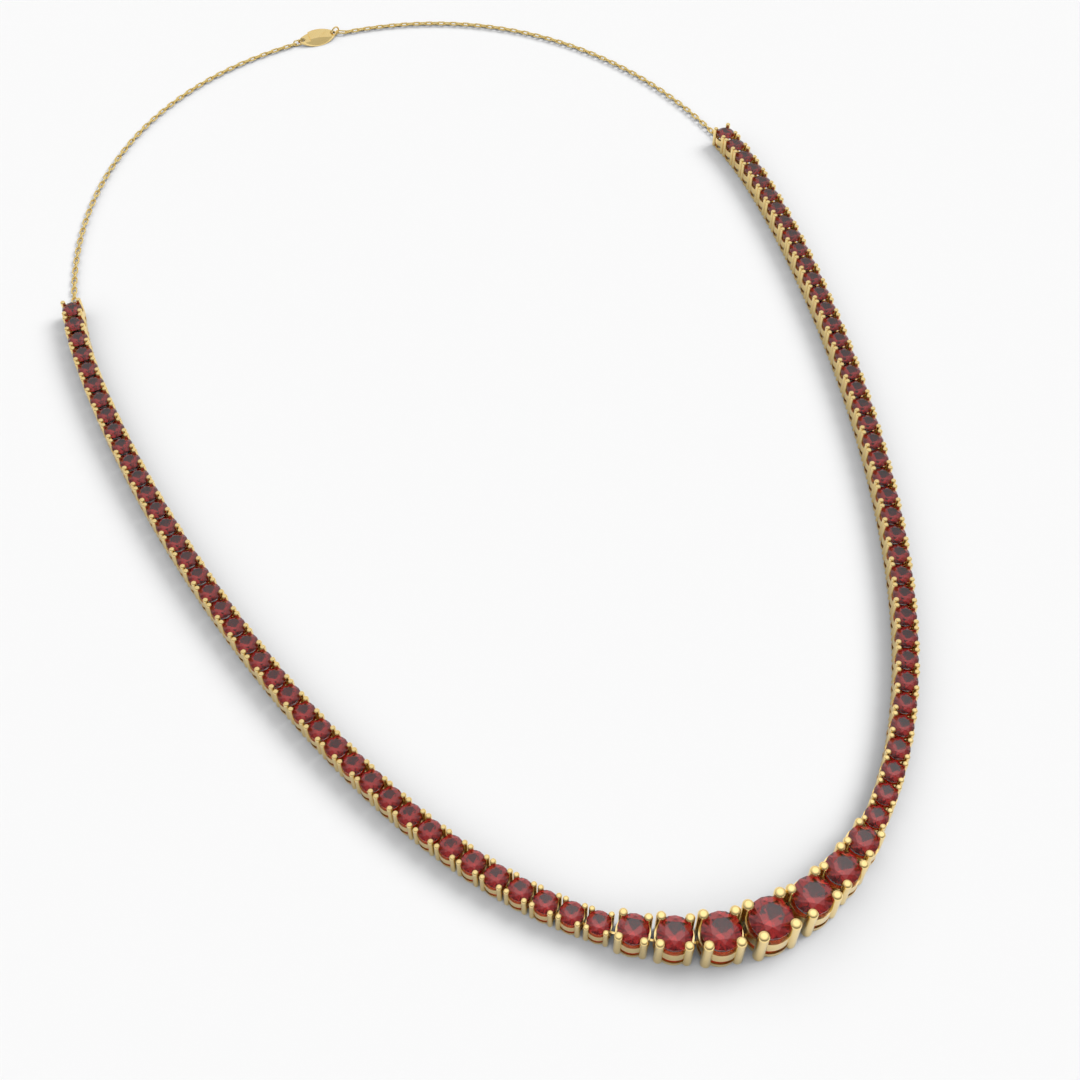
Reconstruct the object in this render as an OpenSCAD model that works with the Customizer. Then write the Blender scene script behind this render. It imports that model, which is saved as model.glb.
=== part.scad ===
// Graduated ruby necklace: claw-set stones on a flat loop, closed by two cable chains and a clasp.
// Millimetres, +Z up. It lies on the plane z = 0 with the middle stone at the front, towards -Y.

/* [Loop] */
// Length of the loop, from the middle stone to the clasp
loop_l = 158.7; // [154:0.5:170]
// Half the width of the loop at its widest place
half_w = 49; // [46:0.5:54]
// How far the widest place lies behind the middle stone
wide_y = 105; // [98:1:112]
// How far the curve keeps its sideways course at the middle stone
front_reach = 35; // [30:1:40]
// How far the curve keeps its straight course before the widest place
side_reach_front = 26.7; // [22:0.1:32]
// How far the curve keeps its straight course behind the widest place
side_reach_back = 23.7; // [20:0.1:28]
// How far the curve keeps its sideways course at the clasp
back_reach = 34; // [30:1:38]
// How far the front of the loop bulges out at the middle stone
bulge = 0.54; // [0:0.02:0.6]
// Length along the loop over which that bulge fades
bulge_reach = 11.5; // [10:0.5:14]

/* [Stones] */
// Diameters of the middle stone and of the three larger stones beside it
front_d = [4.54, 4.18, 3.73, 3.31]; // [3.2:0.01:4.6]
// Distances between the stones at the front, from the middle stone outwards
front_pitch = [5.14, 4.59, 4.08, 3.51]; // [3.5:0.01:6]
// Diameter of each small stone
small_d = 2.6; // [2.4:0.05:2.6]
// Distance between the small stones
small_pitch = 2.9; // [2.9:0.01:3.1]
// Number of small stones on each side
small_n = 40; // [20:1:41]

/* [Cut of the stones] */
// Table radius, as a share of the stone's radius
table_k = 0.57; // [0.5:0.01:0.62]
// Radius where star facets end, as a share of the stone's radius
star_k = 0.77; // [0.72:0.01:0.8]
// Radius where lower half facets end, as a share of the stone's radius
lower_k = 0.24; // [0.2:0.01:0.4]
// Crown height, as a share of the diameter
crown_k = 0.14; // [0.12:0.01:0.16]
// Pavilion depth, as a share of the diameter
pavilion_k = 0.42; // [0.4:0.01:0.45]
// Girdle thickness, as a share of the diameter
girdle_k = 0.03; // [0.02:0.005:0.04]

/* [Settings] */
// Space between a stone and its claws
seat_gap = 0.02; // [0.02:0.01:0.03]
// Distance between neighbouring claws of the small settings, as a share of the stone's diameter
claw_pitch_k = 0.795; // [0.785:0.005:0.8]
// Distance between neighbouring claws of the seven larger settings, as a share of the stone's diameter
front_claw_pitch_k = 0.78; // [0.77:0.005:0.785]
// Claw diameter of the seven larger settings, as a share of the stone's diameter
front_claw_k = 0.2735; // [0.24:0.0005:0.275]
// Claw diameter of the small settings, as a share of the stone's diameter
claw_d_k = 0.245; // [0.22:0.005:0.245]
// Height of the claws, as a share of the stone's diameter
claw_h_k = 1.19; // [1.16:0.01:1.25]
// Radius of the rounded claw tip, as a share of the claw's radius
claw_round_k = 0.5; // [0.4:0.02:0.8]
// Height of the stone's girdle, as a share of its diameter
girdle_z_k = 0.95; // [0.93:0.01:0.98]
// Outer radius of the small settings' gallery rings, as a share of the stone's diameter
ring_r_k = 0.525; // [0.51:0.005:0.525]
// Outer radius of the seven larger settings' gallery rings, as a share of the stone's diameter
front_ring_r_k = 0.545; // [0.52:0.005:0.55]
// Thickness of the gallery rings, as a share of the stone's diameter
ring_t_k = 0.105; // [0.1:0.005:0.12]
// Bottom and top of the upper gallery ring, as shares of the stone's diameter
upper_ring_k = [0.35, 0.73]; // [0.3:0.01:0.76]
// Bottom and top of the lower gallery ring, as shares of the stone's diameter
lower_ring_k = [0.015, 0.155]; // [0.01:0.005:0.2]

/* [Hinge tongues] */
// Width of the tongue that hooks into the next setting
tongue_w = 0.24; // [0.2:0.02:0.5]
// Thickness of the tongue
tongue_t = 0.2; // [0.18:0.02:0.24]
// Space round the tongue
tongue_gap = 0.12; // [0.11:0.01:0.14]

/* [Chains] */
// Width of the chain
chain_d = 0.8; // [0.75:0.05:1]
// Wire of the end loops
loop_wire = 0.24; // [0.2:0.02:0.26]
// Length of the end loop on the last setting
end_loop_l = 1.45; // [1.3:0.05:1.6]
// Width of the end loop on the last setting
end_loop_w = 0.96; // [0.9:0.02:1.1]
// How far the end loop's middle stands off the last setting's middle
end_loop_x = 1.72; // [1.7:0.02:1.8]

/* [Clasp] */
// Length of the clasp from tip to tip
clasp_l = 6.4; // [6.2:0.1:6.8]
// Width of the clasp
clasp_w = 3; // [2.8:0.1:3.2]
// Height of the clasp
clasp_h = 1; // [0.95:0.05:1.1]
// How far the clasp's middle lies to the left of the loop's middle
clasp_left = 0.5; // [0.3:0.1:0.7]
// Radius of the arc along which the top falls towards the tips
top_arc = 20; // [16:1:30]
// Radius of the arc along which the underside rises towards the tips
under_arc = 11; // [10:0.5:12]
// Height of the crease along the front, as a share of the clasp's height
crease_k = 0.93; // [0.88:0.01:0.95]
// Slope of the face that falls towards the right tip, in degrees
right_slope = 8.7; // [8:0.1:10]
// Height of the flat tab at the left tip
tab_top = 0.72; // [0.7:0.01:0.76]
// Length of the flat tab at the left tip
tab_l = 1.95; // [1.9:0.05:2.1]
// Diameters of the left and right eyelets
eyelet_d = [0.92, 0.8]; // [0.76:0.02:0.94]
// How far the left and right eyelets' middles lie inside the tips
eyelet_in = [0.76, 0.66]; // [0.66:0.02:0.8]
// Outer diameter of the jump ring
jump_d = 1.6; // [1.58:0.01:1.62]
// Wire of the jump ring
jump_wire = 0.26; // [0.22:0.02:0.28]
// How far the jump ring's middle stands off the clasp's middle, along and across the clasp
jump_off = [3.04, 0.16]; // [0.1:0.02:3.1]
// How far the jump ring is turned to the clasp, in degrees
jump_turn = 25; // [20:1:30]

/* [Hidden] */
$fn = 48;
gold = "#d9b765";
ruby = "#a3262f";

// Places from here on are counted along one half of the loop, from the middle stone to the clasp.
front_n = len(front_d);
front_quarter = [[0, 0], [front_reach, 0], [half_w, wide_y - side_reach_front], [half_w, wide_y]];
back_quarter = [[half_w, wide_y], [half_w, wide_y + side_reach_back], [back_reach, loop_l], [0, loop_l]];
quarter_steps = 160;

function sum(list, count, i = 0) = i >= count ? 0 : list[i] + sum(list, count, i + 1);

// Point of a cubic curve with four control points
function cubic(p, t) =
    pow(1 - t, 3) * p[0] + 3 * t * pow(1 - t, 2) * p[1] + 3 * t * t * (1 - t) * p[2] + pow(t, 3) * p[3];

half_loop = concat(
    [for (i = [0:quarter_steps]) cubic(front_quarter, i / quarter_steps)],
    [for (i = [1:quarter_steps]) cubic(back_quarter, i / quarter_steps)]
);
half_count = len(half_loop);
// Length run along the curve up to each of its points
half_run = [
    for (i = 0, run = 0; i < half_count;
        run = run + (i + 1 < half_count ? norm(half_loop[i + 1] - half_loop[i]) : 0), i = i + 1) run
];
half_l = half_run[half_count - 1];
half_x = [for (i = [0:half_count - 1]) [half_run[i], half_loop[i].x]];
half_y = [for (i = [0:half_count - 1]) [half_run[i], half_loop[i].y]];
look = 0.1;

// Point at a length s of the curve; the left half has lengths below 0
function at(s) = [
    (s < 0 ? -1 : 1) * lookup(abs(s), half_x),
    lookup(abs(s), half_y) - bulge * exp(-pow(s / bulge_reach, 2))
];
function heading(s) = let (d = at(s + look) - at(s - look)) atan2(d.y, d.x);
// Place of stone k, where 0 is the middle stone
function station(k) = sum(front_pitch, min(k, front_n)) + max(k - front_n, 0) * small_pitch;
function stone_d(k) = k < front_n ? front_d[k] : small_d;
function claw_share(k) = k < front_n ? front_claw_k : claw_d_k;
function claw_pitch_share(k) = k < front_n ? front_claw_pitch_k : claw_pitch_k;
function ring_share(k) = k < front_n ? front_ring_r_k : ring_r_k;

last_k = front_n + small_n - 1;
front_edge = -bulge - (front_claw_pitch_k + front_claw_k) * front_d[0] / 2;
back_edge = loop_l + clasp_w / 2;
middle_y = (front_edge + back_edge) / 2;
chain_z = chain_d / 2;
chain_sides = 8;
chain_rings = 34;
chain_gap = 0.12;
chain_starts = station(last_k) + end_loop_x + end_loop_l / 2 + chain_gap;
left_end = half_l - clasp_l / 2 - clasp_left - chain_gap;
right_end = half_l + clasp_left - jump_off.x - jump_d / 2 - chain_gap;

// Carries a piece to place s on the right half: its X runs towards the clasp, its Y into the loop
module on_loop(s) {
    p = at(s);
    translate([p.x, p.y - middle_y, 0]) rotate(heading(s)) children();
}

module on_left() {
    mirror([1, 0, 0]) children();
}

// Height above the girdle at which star facets end, and depth at which lower halves end
function star_z(d) = crown_k * d * (1 - star_k * cos(22.5)) / (1 - table_k);
function lower_z(d) = pavilion_k * d * (1 - lower_k * cos(22.5));

// Round brilliant: table, eight stars, eight kites, sixteen upper halves, girdle,
// sixteen lower halves and eight pavilion mains, all of them flat
module brilliant(d) {
    r = d / 2;
    g = girdle_k * d / 2;
    crown = crown_k * d;
    pavilion = pavilion_k * d;
    function circle_of(n, radius, z, turn = 0) =
        [for (i = [0:n - 1]) [radius * cos(turn + i * 360 / n), radius * sin(turn + i * 360 / n), z]];
    points = concat(
        circle_of(8, table_k * r, g + crown),
        circle_of(8, star_k * r, g + star_z(d), 22.5),
        circle_of(16, r, g),
        circle_of(16, r, -g),
        circle_of(8, lower_k * r, -g - lower_z(d), 22.5),
        [[0, 0, -g - pavilion]]
    );
    star = 8;
    top = 16;
    low = 32;
    half = 48;
    culet = 56;
    faces = concat(
        [[for (i = [7:-1:0]) i]],
        [for (i = [0:7]) [i, (i + 1) % 8, star + i]],
        [for (i = [0:7]) [i, star + i, top + 2 * i, star + (i + 7) % 8]],
        [for (i = [0:7]) [star + i, top + 2 * i + 1, top + 2 * i]],
        [for (i = [0:7]) [star + i, top + (2 * i + 2) % 16, top + 2 * i + 1]],
        [for (i = [0:15]) [top + i, top + (i + 1) % 16, low + (i + 1) % 16, low + i]],
        [for (i = [0:7]) [half + i, low + 2 * i, low + 2 * i + 1]],
        [for (i = [0:7]) [half + i, low + 2 * i + 1, low + (2 * i + 2) % 16]],
        [for (i = [0:7]) [culet, half + (i + 7) % 8, low + 2 * i, half + i]]
    );
    polyhedron(points, faces);
}

module ruby(k) {
    d = stone_d(k);
    color(ruby) on_loop(station(k)) translate([0, 0, girdle_z_k * d]) rotate(22.5) brilliant(d);
}

// Straight round wire with a rounded tip, for stone k
module claw(k) {
    r = claw_share(k) * stone_d(k) / 2;
    h = claw_h_k * stone_d(k);
    tip = claw_round_k * r;
    rotate_extrude() {
        square([r, h - tip]);
        square([r - tip, h]);
        translate([r - tip, h - tip]) intersection() {
            circle(tip);
            square(tip);
        }
    }
}

module gallery_ring(k, span) {
    d = stone_d(k);
    translate([0, 0, span[0] * d]) difference() {
        cylinder(r = ring_share(k) * d, h = (span[1] - span[0]) * d);
        translate([0, 0, -1]) cylinder(r = (ring_share(k) - ring_t_k) * d, h = d + 2);
    }
}

// Room that the stone takes in its setting, a seat gap larger all round
module stone_room(d) {
    r = d / 2;
    g = girdle_k * d / 2;
    translate([0, 0, girdle_z_k * d]) rotate_extrude() polygon([
        [0, -g - pavilion_k * d - seat_gap],
        [lower_k * r + seat_gap, -g - lower_z(d) - seat_gap],
        [r + seat_gap, -g - seat_gap],
        [r + seat_gap, g + seat_gap],
        [star_k * r + seat_gap, g + star_z(d) + seat_gap],
        [table_k * r + seat_gap, g + crown_k * d + seat_gap],
        [0, g + crown_k * d + seat_gap]
    ]);
}

// Tongue soldered to the ring of stone k: it passes through the slit of setting k + 1
// and turns down behind that setting's lower ring
module tongue(k) {
    d = stone_d(k);
    next_d = stone_d(k + 1);
    way = at(station(k + 1)) - at(station(k));
    root_x = (ring_share(k) - ring_t_k * 0.6) * d;
    wall_x = norm(way) - sqrt(pow((ring_share(k + 1) - ring_t_k) * next_d, 2) - pow(tongue_w / 2, 2));
    lip_x = wall_x + tongue_gap;
    arm_z = lower_ring_k[1] * next_d + tongue_gap;
    root_z = lower_ring_k[1] * d / 2;
    lip_z = lower_ring_k[1] * next_d / 2;
    rotate(atan2(way.y, way.x) - heading(station(k))) translate([0, -tongue_w / 2, 0]) {
        translate([root_x, 0, root_z]) cube([ring_t_k * d / 2, tongue_w, arm_z + tongue_t - root_z]);
        translate([root_x, 0, arm_z]) cube([lip_x + tongue_t - root_x, tongue_w, tongue_t]);
        translate([lip_x, 0, lip_z]) cube([tongue_t, tongue_w, arm_z + tongue_t - lip_z]);
    }
}

// Flat wire loop with round ends
module end_loop() {
    side = (end_loop_w - loop_wire) / 2;
    straight = (end_loop_l - end_loop_w) / 2;
    translate([end_loop_x, 0, end_loop_z()]) {
        for (turn = [0, 180]) rotate(turn) translate([straight, 0, 0]) rotate(-90)
            rotate_extrude(angle = 180) translate([side, 0]) circle(d = loop_wire);
        for (y = [-side, side]) translate([-straight, y, 0]) rotate([0, 90, 0])
            cylinder(d = loop_wire, h = 2 * straight);
    }
}

function end_loop_z() = lower_ring_k[1] * small_d - loop_wire / 4;

// Basket of four claws and two gallery rings for stone k
module basket(k) {
    d = stone_d(k);
    spread = claw_pitch_share(k) * d / 2;
    difference() {
        union() {
            for (x = [-1, 1], y = [-1, 1]) translate([x * spread, y * spread, 0]) claw(k);
            gallery_ring(k, upper_ring_k);
            gallery_ring(k, lower_ring_k);
        }
        stone_room(d);
    }
}

module setting(k) {
    color(gold) on_loop(station(k)) {
        basket(k);
        if (k < last_k) tongue(k);
        if (k == last_k) end_loop();
        if (k == 0) on_left() tongue(k);
    }
}

module small_settings() {
    for (k = [front_n:last_k]) setting(k);
}

module small_rubies() {
    for (k = [front_n:last_k]) ruby(k);
}

// Outer form of a chain: a tube along the loop from place a to place b
module chain_tube(a, b) {
    ring = [for (j = [0:chain_sides - 1]) (j + 0.5) * 360 / chain_sides];
    r = chain_z / cos(180 / chain_sides);
    points = [
        for (i = [0:chain_rings]) let (s = a + (b - a) * i / chain_rings, p = at(s), h = heading(s))
            for (t = ring) [
                p.x - r * cos(t) * sin(h),
                p.y - middle_y + r * cos(t) * cos(h),
                chain_z + r * sin(t)
            ]
    ];
    sides = [
        for (i = [0:chain_rings - 1], j = [0:chain_sides - 1]) let (n = (j + 1) % chain_sides) [
            i * chain_sides + j,
            (i + 1) * chain_sides + j,
            (i + 1) * chain_sides + n,
            i * chain_sides + n
        ]
    ];
    start = [for (j = [0:chain_sides - 1]) j];
    end = [for (j = [chain_sides - 1:-1:0]) chain_rings * chain_sides + j];
    color(gold) polyhedron(concat(points), concat(sides, [start], [end]));
}

// Pointed oval between two arcs
module pointed_oval(l, w) {
    r = (l * l + w * w) / (4 * w);
    intersection_for (side = [-1, 1]) translate([0, side * (r - w / 2)]) circle(r, $fn = 96);
}

// What the clasp loses outside an arc of radius r about height z, seen across its length
module outside_arc(r, z) {
    rotate([90, 0, 0]) translate([0, 0, -clasp_w]) linear_extrude(2 * clasp_w) difference() {
        translate([-clasp_l, -1]) square([2 * clasp_l, clasp_h + 2]);
        translate([0, z]) circle(r, $fn = 144);
    }
}

// Leaf-shaped clasp. Its top face ends in front at a crease, from which a steep face falls to the
// rim, on the right at a face that falls to the right tip, and on the left at a step down to a flat tab.
module clasp() {
    rim = clasp_w / 2;
    crease = [0.13, -0.4 * rim, crease_k * clasp_h];
    color(gold) translate([-clasp_left, loop_l - middle_y, 0]) difference() {
        linear_extrude(clasp_h) pointed_oval(clasp_l, clasp_w);
        rotate([90, 0, 90]) translate([0, 0, -clasp_l]) linear_extrude(2 * clasp_l) {
            polygon([
                [-rim - 1, 0.15 * clasp_h], [-rim, 0.15 * clasp_h], [crease.y, crease.z],
                [rim, clasp_h], [rim, clasp_h + 1], [-rim - 1, clasp_h + 1]
            ]);
            polygon([[0.1 * rim, 0], [rim, 0.55 * clasp_h], [rim + 1, -1], [0.1 * rim, -1]]);
        }
        outside_arc(top_arc, clasp_h - top_arc);
        outside_arc(under_arc, under_arc);
        translate([-clasp_l / 2 - 1, -clasp_w, tab_top]) cube([tab_l + 1, 2 * clasp_w, clasp_h]);
        translate(crease) rotate([0, 0, -51]) rotate([0, right_slope, 0]) translate([0, -clasp_l, 0])
            cube([clasp_l, 2 * clasp_l, clasp_h]);
        for (i = [0, 1]) translate([(2 * i - 1) * (clasp_l / 2 - eyelet_in[i]), 0, -1])
            cylinder(d = eyelet_d[i], h = clasp_h + 2);
    }
}

// Ring that stands on edge in the right eyelet
module jump_ring() {
    color(gold) translate([jump_off.x - clasp_left, loop_l - middle_y + jump_off.y, jump_d / 2])
        rotate([90, 0, jump_turn]) rotate_extrude() translate([(jump_d - jump_wire) / 2, 0])
            circle(d = jump_wire);
}

setting(0);  // setting_mid
on_left() setting(1);  // setting_left_1
on_left() setting(2);  // setting_left_2
on_left() setting(3);  // setting_left_3
setting(1);  // setting_right_1
setting(2);  // setting_right_2
setting(3);  // setting_right_3
ruby(0);  // ruby_mid
on_left() ruby(1);  // ruby_left_1
on_left() ruby(2);  // ruby_left_2
on_left() ruby(3);  // ruby_left_3
ruby(1);  // ruby_right_1
ruby(2);  // ruby_right_2
ruby(3);  // ruby_right_3
on_left() small_settings();  // settings_left
small_settings();  // settings_right
on_left() small_rubies();  // rubies_left
small_rubies();  // rubies_right
on_left() chain_tube(chain_starts, left_end);  // chain_left
chain_tube(chain_starts, right_end);  // chain_right
clasp();
jump_ring();
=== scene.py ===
"""Looks of the graduated ruby necklace, lying on a pale floor with its stones up."""

import bpy
import numpy as np
from mathutils import Matrix


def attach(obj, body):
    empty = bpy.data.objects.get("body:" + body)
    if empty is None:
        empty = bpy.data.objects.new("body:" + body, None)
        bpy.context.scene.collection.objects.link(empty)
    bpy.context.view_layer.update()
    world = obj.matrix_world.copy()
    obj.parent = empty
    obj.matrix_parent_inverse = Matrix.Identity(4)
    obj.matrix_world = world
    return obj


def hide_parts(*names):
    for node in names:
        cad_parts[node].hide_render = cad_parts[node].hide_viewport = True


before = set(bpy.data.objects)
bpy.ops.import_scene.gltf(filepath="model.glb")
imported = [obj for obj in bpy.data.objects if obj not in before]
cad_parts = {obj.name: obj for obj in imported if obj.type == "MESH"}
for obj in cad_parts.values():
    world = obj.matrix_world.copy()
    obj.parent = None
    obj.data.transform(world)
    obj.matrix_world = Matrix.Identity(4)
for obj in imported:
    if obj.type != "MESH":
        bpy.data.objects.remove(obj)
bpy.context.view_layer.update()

MM = 0.001

# Loop, stones and settings, as in the part's source, in millimetres
LOOP_L = 158.7
HALF_W = 49.0
WIDE_Y = 105.0
FRONT_REACH = 35.0
SIDE_REACH_FRONT = 26.7
SIDE_REACH_BACK = 23.7
BACK_REACH = 34.0
BULGE = 0.54
BULGE_REACH = 11.5
MIDDLE_STONE_D = 4.54
FRONT_PITCH = (5.14, 4.59, 4.08, 3.51)
SMALL_PITCH = 2.9
SMALL_N = 40
FRONT_CLAW_PITCH_K = 0.78
FRONT_CLAW_K = 0.2735
CLASP_W = 3.0
FRONT_EDGE = -BULGE - (FRONT_CLAW_PITCH_K + FRONT_CLAW_K) * MIDDLE_STONE_D / 2
MIDDLE_Y = (FRONT_EDGE + LOOP_L + CLASP_W / 2) / 2
CLASP_Y = LOOP_L - MIDDLE_Y

# Chains, in millimetres and degrees; a link's width and length run to the centre of its wire
CHAIN_Z = 0.4
LINK_W = 0.64
LINK_L = 1.25
LINK_WIRE = 0.22
LINK_STEP = 0.9924
LINK_LEAN = 57
LINKS = 69
FIRST_LINK_OFF = 2.66
FIRST_LINK_LEAN = 78
FIRST_LINK_Z = 0.42


# The loop's curve

def cubic(controls, t):
    """Cubic curve of four control points, for an array of t from 0 to 1.

    Sum of the points times u^3, 3 t u^2, 3 t^2 u and t^3, with u = 1 - t.
    """
    p = np.array(controls, float)
    t = t[:, None]
    u = 1 - t
    return u ** 3 * p[0] + 3 * t * u ** 2 * p[1] + 3 * t ** 2 * u * p[2] + t ** 3 * p[3]


def half_loop():
    """Right half of the loop, from the middle stone to the clasp: points, and the length run up to each.

    Two cubic curves; the length is the sum of the distances between neighbouring points.
    """
    steps = 2000
    t = np.linspace(0, 1, steps)
    side = (HALF_W, WIDE_Y)
    front = cubic([(0, 0), (FRONT_REACH, 0), (HALF_W, WIDE_Y - SIDE_REACH_FRONT), side], t)
    back = cubic([side, (HALF_W, WIDE_Y + SIDE_REACH_BACK), (BACK_REACH, LOOP_L), (0, LOOP_L)], t)
    points = np.vstack([front, back[1:]])
    run = np.concatenate([[0], np.cumsum(np.linalg.norm(np.diff(points, axis=0), axis=1))])
    return points, run


LOOP_POINTS, LOOP_RUN = half_loop()


def at(s):
    """Points of the loop at lengths s from the middle stone, which are negative on the left half.

    The left half mirrors the right one. Both bulge forwards by BULGE times exp(-(s / BULGE_REACH)^2).
    """
    s = np.asarray(s, float)
    x = np.sign(s) * np.interp(np.abs(s), LOOP_RUN, LOOP_POINTS[:, 0])
    y = np.interp(np.abs(s), LOOP_RUN, LOOP_POINTS[:, 1]) - BULGE * np.exp(-(s / BULGE_REACH) ** 2)
    return np.stack([x, y - MIDDLE_Y], axis=-1)


def heading(s):
    """Angle of the loop at lengths s, towards growing s: that of a short chord about each point."""
    step = 0.1
    way = at(np.asarray(s) + step) - at(np.asarray(s) - step)
    return np.arctan2(way[..., 1], way[..., 0])


# Materials

# Numbers of a Mix node's sockets for colours
MIX_A = 6
MIX_B = 7
MIX_RESULT = 2


def linear(hex_colour):
    """Linear colour of an sRGB hex string: c / 12.92 where dark, otherwise ((c + 0.055) / 1.055)^2.4."""
    srgb = np.array([int(hex_colour[i:i + 2], 16) / 255 for i in (1, 3, 5)])
    flat = np.where(srgb <= 0.04045, srgb / 12.92, ((srgb + 0.055) / 1.055) ** 2.4)
    return (*flat, 1.0)


def new_material(name):
    """Material with an empty node tree, and its tree."""
    material = bpy.data.materials.new(name)
    material.use_nodes = True
    material.node_tree.nodes.clear()
    return material, material.node_tree


def add(tree, kind, settings=None, links=None):
    """Node of a kind, with its inputs or attributes set and its inputs linked to other nodes' outputs.

    Inputs and outputs are given by name, or by number where a name isn't unique.
    """
    node = tree.nodes.new(kind)
    for key, value in (settings or {}).items():
        if isinstance(key, int) or key in node.inputs:
            node.inputs[key].default_value = value
        else:
            setattr(node, key, value)
    for key, (source, output) in (links or {}).items():
        tree.links.new(source.outputs[output], node.inputs[key])
    return node


def polished_gold(name, light, deep):
    """14 carat yellow gold, machine polished: soft mirror images that waver a little, and no scratches.

    One soft noise drives both the roughness and the tint, from light to deep.
    """
    waves_per_mm = 0.9
    material, tree = new_material(name)
    coords = add(tree, "ShaderNodeTexCoord")
    uneven = add(tree, "ShaderNodeTexNoise", {"Scale": waves_per_mm / MM, "Detail": 2.0},
                 {"Vector": (coords, "Object")})
    rough = add(tree, "ShaderNodeMapRange", {"To Min": 0.16, "To Max": 0.24}, {"Value": (uneven, "Fac")})
    tint = add(tree, "ShaderNodeMix", {"data_type": "RGBA", MIX_A: linear(light), MIX_B: linear(deep)},
               {"Factor": (uneven, "Fac")})
    shader = add(tree, "ShaderNodeBsdfPrincipled", {"Metallic": 1.0},
                 {"Roughness": (rough, "Result"), "Base Color": (tint, MIX_RESULT)})
    add(tree, "ShaderNodeOutputMaterial", links={"Surface": (shader, "BSDF")})
    return material


def cut_ruby():
    """Ruby, cut and polished: clear, deep red and sparkling.

    A soft noise gives it faint clouds of colour.
    """
    clouds_per_mm = 0.7
    material, tree = new_material("cut_ruby")
    coords = add(tree, "ShaderNodeTexCoord")
    cloud = add(tree, "ShaderNodeTexNoise", {"Scale": clouds_per_mm / MM, "Detail": 1.0},
                {"Vector": (coords, "Object")})
    tint = add(tree, "ShaderNodeMix",
               {"data_type": "RGBA", MIX_A: linear("#b92826"), MIX_B: linear("#a9201e")},
               {"Factor": (cloud, "Fac")})
    shader = add(tree, "ShaderNodeBsdfPrincipled",
                 {"Roughness": 0.0, "IOR": 1.77, "Transmission Weight": 1.0},
                 {"Base Color": (tint, MIX_RESULT)})
    add(tree, "ShaderNodeOutputMaterial", links={"Surface": (shader, "BSDF")})
    return material


def white_paper():
    """Matt white paper: no gloss, so that it shows nothing but the shadows."""
    material, tree = new_material("white_paper")
    shader = add(tree, "ShaderNodeBsdfPrincipled",
                 {"Roughness": 1.0, "Specular IOR Level": 0.0, "Base Color": linear("#f1f1f1")})
    add(tree, "ShaderNodeOutputMaterial", links={"Surface": (shader, "BSDF")})
    return material


# Meshes

def mesh_object(name, points, faces, material):
    """Smooth object from points, in millimetres, and faces."""
    mesh = bpy.data.meshes.new(name)
    mesh.from_pydata((np.asarray(points) * MM).tolist(), [], np.asarray(faces).tolist())
    mesh.materials.append(material)
    mesh.validate()
    mesh.shade_smooth()
    piece = bpy.data.objects.new(name, mesh)
    bpy.context.scene.collection.objects.link(piece)
    return piece


def tube_faces(rings, sides):
    """Quads of a tube that closes on itself both ways, for points in order of ring, then side."""
    ring, side = np.meshgrid(np.arange(rings), np.arange(sides), indexing="ij")
    next_ring, next_side = (ring + 1) % rings, (side + 1) % sides
    corners = [ring * sides + side, next_ring * sides + side,
               next_ring * sides + next_side, ring * sides + next_side]
    return np.stack(corners, axis=-1).reshape(-1, 4)


def oval_link(width, length, wire, rings=16, sides=6):
    """Link of round wire about an oval in the XY plane, long way along X.

    Centre line: half circles of radius width/2 joined by straights; wire: a circle round it.
    """
    radius = width / 2
    straight = (length - width) / 2
    turn = np.linspace(0, 2 * np.pi, rings, endpoint=False) + np.pi / rings
    normal = np.stack([np.cos(turn), np.sin(turn), 0 * turn], axis=1)
    centre = radius * normal + np.stack([np.sign(np.cos(turn)) * straight, 0 * turn, 0 * turn], axis=1)
    around = np.linspace(0, 2 * np.pi, sides, endpoint=False)
    up = np.array([0, 0, 1.0])
    points = centre[:, None] + wire / 2 * (np.cos(around)[None, :, None] * normal[:, None]
                                           - np.sin(around)[None, :, None] * up)
    return points.reshape(-1, 3), tube_faces(rings, sides)


def copies(shape, origins, headings, leans):
    """Copies of a shape's points and faces, each leant about X, turned about Z and moved to its origin."""
    points, faces = shape
    x, y, z = points.T
    cos_lean, sin_lean = np.cos(leans)[:, None], np.sin(leans)[:, None]
    cos_turn, sin_turn = np.cos(headings)[:, None], np.sin(headings)[:, None]
    across = cos_lean * y - sin_lean * z
    up = sin_lean * y + cos_lean * z
    moved = np.stack([cos_turn * x - sin_turn * across, sin_turn * x + cos_turn * across, up], axis=-1)
    moved += np.asarray(origins)[:, None]
    numbers = faces + (np.arange(len(origins)) * len(points))[:, None, None]
    return moved.reshape(-1, 3), numbers.reshape(-1, faces.shape[1])


def chain(name, side, end_size, end_place, end_heading, end_lean):
    """Cable chain along one half, of side -1 or 1: every second link lies flat, the others lean outwards.

    The first link stands up through the setting's end loop. The last one has its own size, place,
    heading and lean, so that it passes through what it hangs on.
    """
    last_stone = sum(FRONT_PITCH) + SMALL_PITCH * (SMALL_N - 1)
    s = last_stone + FIRST_LINK_OFF + LINK_STEP * np.arange(LINKS)
    leans = np.where(np.arange(LINKS) % 2 == 0, LINK_LEAN, 0)
    heights = np.full(LINKS, CHAIN_Z)
    leans[0], heights[0] = FIRST_LINK_LEAN, FIRST_LINK_Z
    origins = np.column_stack([at(side * s), heights])
    link = oval_link(LINK_W, LINK_L, LINK_WIRE)
    points, faces = copies(link, origins, heading(side * s), np.radians(leans))
    end_link = oval_link(*end_size, LINK_WIRE)
    end, end_faces = copies(end_link, [end_place], np.radians([end_heading]), np.radians([end_lean]))
    all_faces = np.vstack([faces, end_faces + len(points)])
    piece = mesh_object(name, np.vstack([points, end]), all_faces, CHAIN_GOLD)
    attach(piece, "root")
    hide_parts(name)


# Stage

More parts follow.
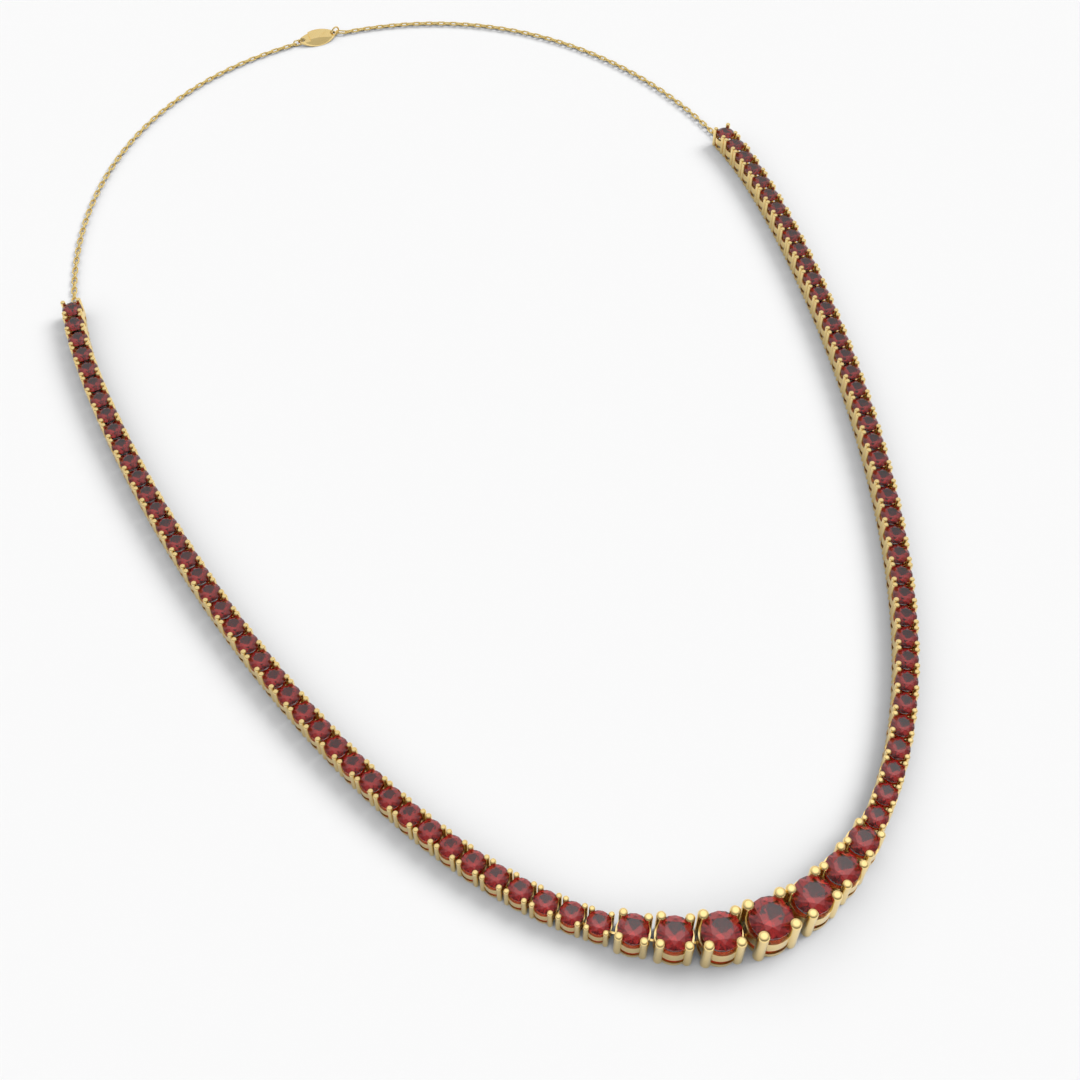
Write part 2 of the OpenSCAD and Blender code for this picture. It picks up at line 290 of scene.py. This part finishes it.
def place_camera():
    """Camera of the photograph, as fitted to the claw tips: its place, forward and right directions."""
    place = np.array([-41.42, -44.89 - MIDDLE_Y, 148.09]) * MM
    forward = np.array([0.20875, 0.54333, -0.81315])
    forward /= np.linalg.norm(forward)
    right = np.array([0.9308, -0.36548, -0.00526])
    right -= forward * (right @ forward)
    right /= np.linalg.norm(right)
    turned = np.column_stack([right, np.cross(right, forward), -forward])
    camera = bpy.data.objects.new("camera", bpy.data.cameras.new("camera"))
    camera.data.sensor_width = 36.0
    camera.data.lens = 49.91
    camera.data.clip_start = 0.01
    camera.matrix_world = Matrix.Translation(place) @ Matrix(turned).to_4x4()
    bpy.context.scene.collection.objects.link(camera)
    bpy.context.scene.camera = camera


def tent_part(tree, coords, towards, cosines, strengths):
    """Smooth step from one strength to another, by the cosine between the view and a direction."""
    cosine = add(tree, "ShaderNodeVectorMath", {"operation": "DOT_PRODUCT", 1: towards},
                 {0: (coords, "Generated")})
    step = add(tree, "ShaderNodeMapRange",
               {"interpolation_type": "SMOOTHSTEP", "From Min": cosines[0], "From Max": cosines[1],
                "To Min": strengths[0], "To Max": strengths[1]},
               {"Value": (cosine, "Value")})
    return step, "Result"


def pitch_tent():
    """Tent of white light that only gold and stones see: a wall behind and above, a panel and a horizon.

    Its strength is the sum of the three parts.
    """
    world = bpy.data.worlds.new("studio")
    world.use_nodes = True
    tree = world.node_tree
    tree.nodes.clear()
    coords = add(tree, "ShaderNodeTexCoord")
    wall = tent_part(tree, coords, towards=(0.199, 0.491, 0.848),
                     cosines=(0.1, 0.85), strengths=(0.17, 0.78))
    panel = tent_part(tree, coords, towards=(0.2555, 0.274, 0.927),
                      cosines=(0.974, 0.996), strengths=(0.0, 0.6))
    horizon = tent_part(tree, coords, towards=(0.0, 0.0, 1.0),
                        cosines=(0.15, 0.4), strengths=(0.3, 0.0))
    inner = add(tree, "ShaderNodeMath", {"operation": "ADD"}, {0: wall, 1: panel})
    whole = add(tree, "ShaderNodeMath", {"operation": "ADD"}, {0: (inner, "Value"), 1: horizon})
    sky = add(tree, "ShaderNodeBackground", {"Color": (1, 1, 1, 1)}, {"Strength": (whole, "Value")})
    add(tree, "ShaderNodeOutputWorld", links={"Surface": (sky, "Background")})
    world.cycles_visibility.diffuse = False
    bpy.context.scene.world = world


def broad_light(name, towards, strength, spread):
    """Distant soft light from a direction, spread over an angle in degrees, that mirrors don't show."""
    light = bpy.data.lights.new(name, "SUN")
    light.energy = strength
    light.angle = np.radians(spread)
    lamp = bpy.data.objects.new(name, light)
    back = np.array(towards, float)
    back /= np.linalg.norm(back)
    side = np.cross([0, 1, 0], back)
    side /= np.linalg.norm(side)
    turned = np.column_stack([side, np.cross(back, side), back])
    lamp.matrix_world = Matrix(turned).to_4x4()
    lamp.visible_glossy = False
    lamp.visible_transmission = False
    bpy.context.scene.collection.objects.link(lamp)


def light_the_stage():
    """Tent for what gold and stones mirror, and two broad lamps that light the floor."""
    pitch_tent()
    broad_light("ceiling", towards=(-0.15, 0.0, 1.0), strength=2.22, spread=125)
    broad_light("window", towards=(1.0, 0.12, 1.0), strength=1.75, spread=34)
    scene = bpy.context.scene
    scene.view_settings.view_transform = "Standard"
    # The shadows on the floor stay plain grey: gold and stones throw no coloured light into them.
    scene.cycles.caustics_reflective = False
    scene.cycles.caustics_refractive = False


def lay_floor():
    """Square of white paper just under the claw feet, 3 m wide."""
    half = 1500
    z = -0.02
    points = [(-half, -half, z), (half, -half, z), (half, half, z), (-half, half, z)]
    floor = mesh_object("floor", points, [(0, 1, 2, 3)], white_paper())


GOLD = polished_gold("polished_yellow_gold", "#ffe4a2", "#fbdb93")
CHAIN_GOLD = polished_gold("fine_chain_gold", "#ffe59a", "#fcdb86")
RUBY = cut_ruby()
for node_name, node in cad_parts.items():
    looks = RUBY if node_name.startswith(("ruby", "rubies")) else GOLD
    for slot in node.material_slots:
        slot.material = looks

chain("chain_left", side=-1, end_size=(0.72, 1.39), end_place=(-3.76, CLASP_Y - 0.143, 0.523),
      end_heading=1.1, end_lean=65.2)
chain("chain_right", side=1, end_size=(LINK_W, 1.847), end_place=(3.561, CLASP_Y + 0.088, 0.426),
      end_heading=-26.2, end_lean=-3.3)

place_camera()
light_the_stage()
lay_floor()
